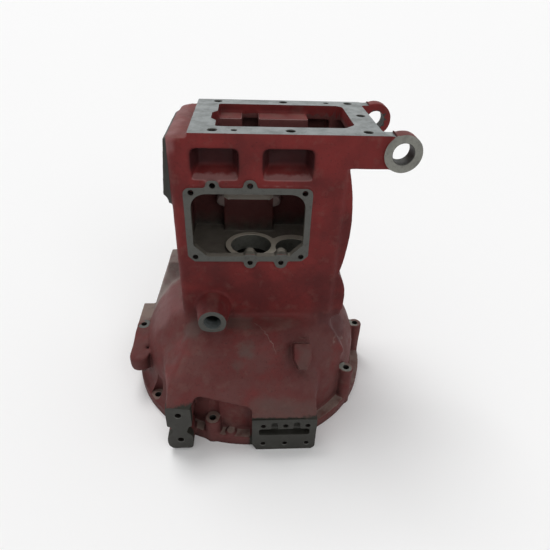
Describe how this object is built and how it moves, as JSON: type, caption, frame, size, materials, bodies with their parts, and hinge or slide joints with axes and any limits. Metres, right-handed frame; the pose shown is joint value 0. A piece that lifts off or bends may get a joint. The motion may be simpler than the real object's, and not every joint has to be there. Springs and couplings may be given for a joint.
{
  "type": "gearbox housing",
  "caption": "Cast-iron gearbox housing: a round clutch bell carries an open-topped gear case with bearing wall, side window, hinge ears and bolting pads.",
  "frame": {"origin": "centre of the bell mouth, on the input shaft axis, in the plane of the bell's machined face", "axes": "+Z along the input shaft from the bell towards the gear case; +X towards the two hinge ears; -Y towards the shift window"},
  "size_m": [0.4693, 0.4605, 0.502],
  "materials": {
    "painted_iron": "sand-cast grey iron with worn, dusty maroon paint; machined faces bare and dull"
  },
  "bodies": {
    "root": {"housing_casting": "painted_iron"}
  },
  "joints": []
}
